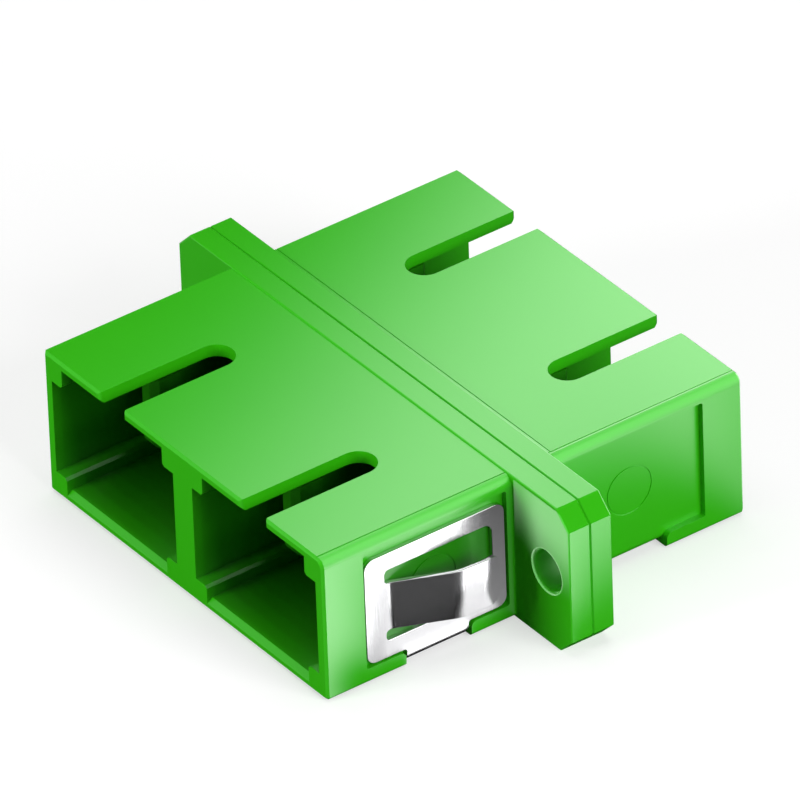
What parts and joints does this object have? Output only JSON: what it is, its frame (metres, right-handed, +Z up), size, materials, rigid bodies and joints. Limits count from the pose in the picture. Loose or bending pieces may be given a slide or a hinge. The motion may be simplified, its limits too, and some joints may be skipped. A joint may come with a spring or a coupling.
{
  "type": "duplex fibre optic adapter",
  "caption": "Green moulded fibre optic coupler with side-by-side push-pull plug ports, a panel flange with screw ears, and a spring-steel panel clip.",
  "frame": {"origin": "bottom centre, on the seam between the two halves of the flange", "axes": "+X across the ports, -Y out of the clipped front mouths along the plugs' axes, +Z up, towards the keyways"},
  "size_m": [0.0348, 0.0274, 0.0091],
  "materials": {
    "moulding": "satin moulded green plastic",
    "latch_moulding": "satin moulded green plastic",
    "spring_steel": "bright rolled stainless spring sheet",
    "ceramic": "fine ground white zirconia"
  },
  "bodies": {
    "root": {"front_housing": "moulding", "rear_housing": "moulding", "panel_clip": "spring_steel", "front_left_latch": "latch_moulding", "front_right_latch": "latch_moulding", "rear_left_latch": "latch_moulding", "rear_right_latch": "latch_moulding", "left_sleeve": "ceramic", "right_sleeve": "ceramic"}
  },
  "joints": []
}
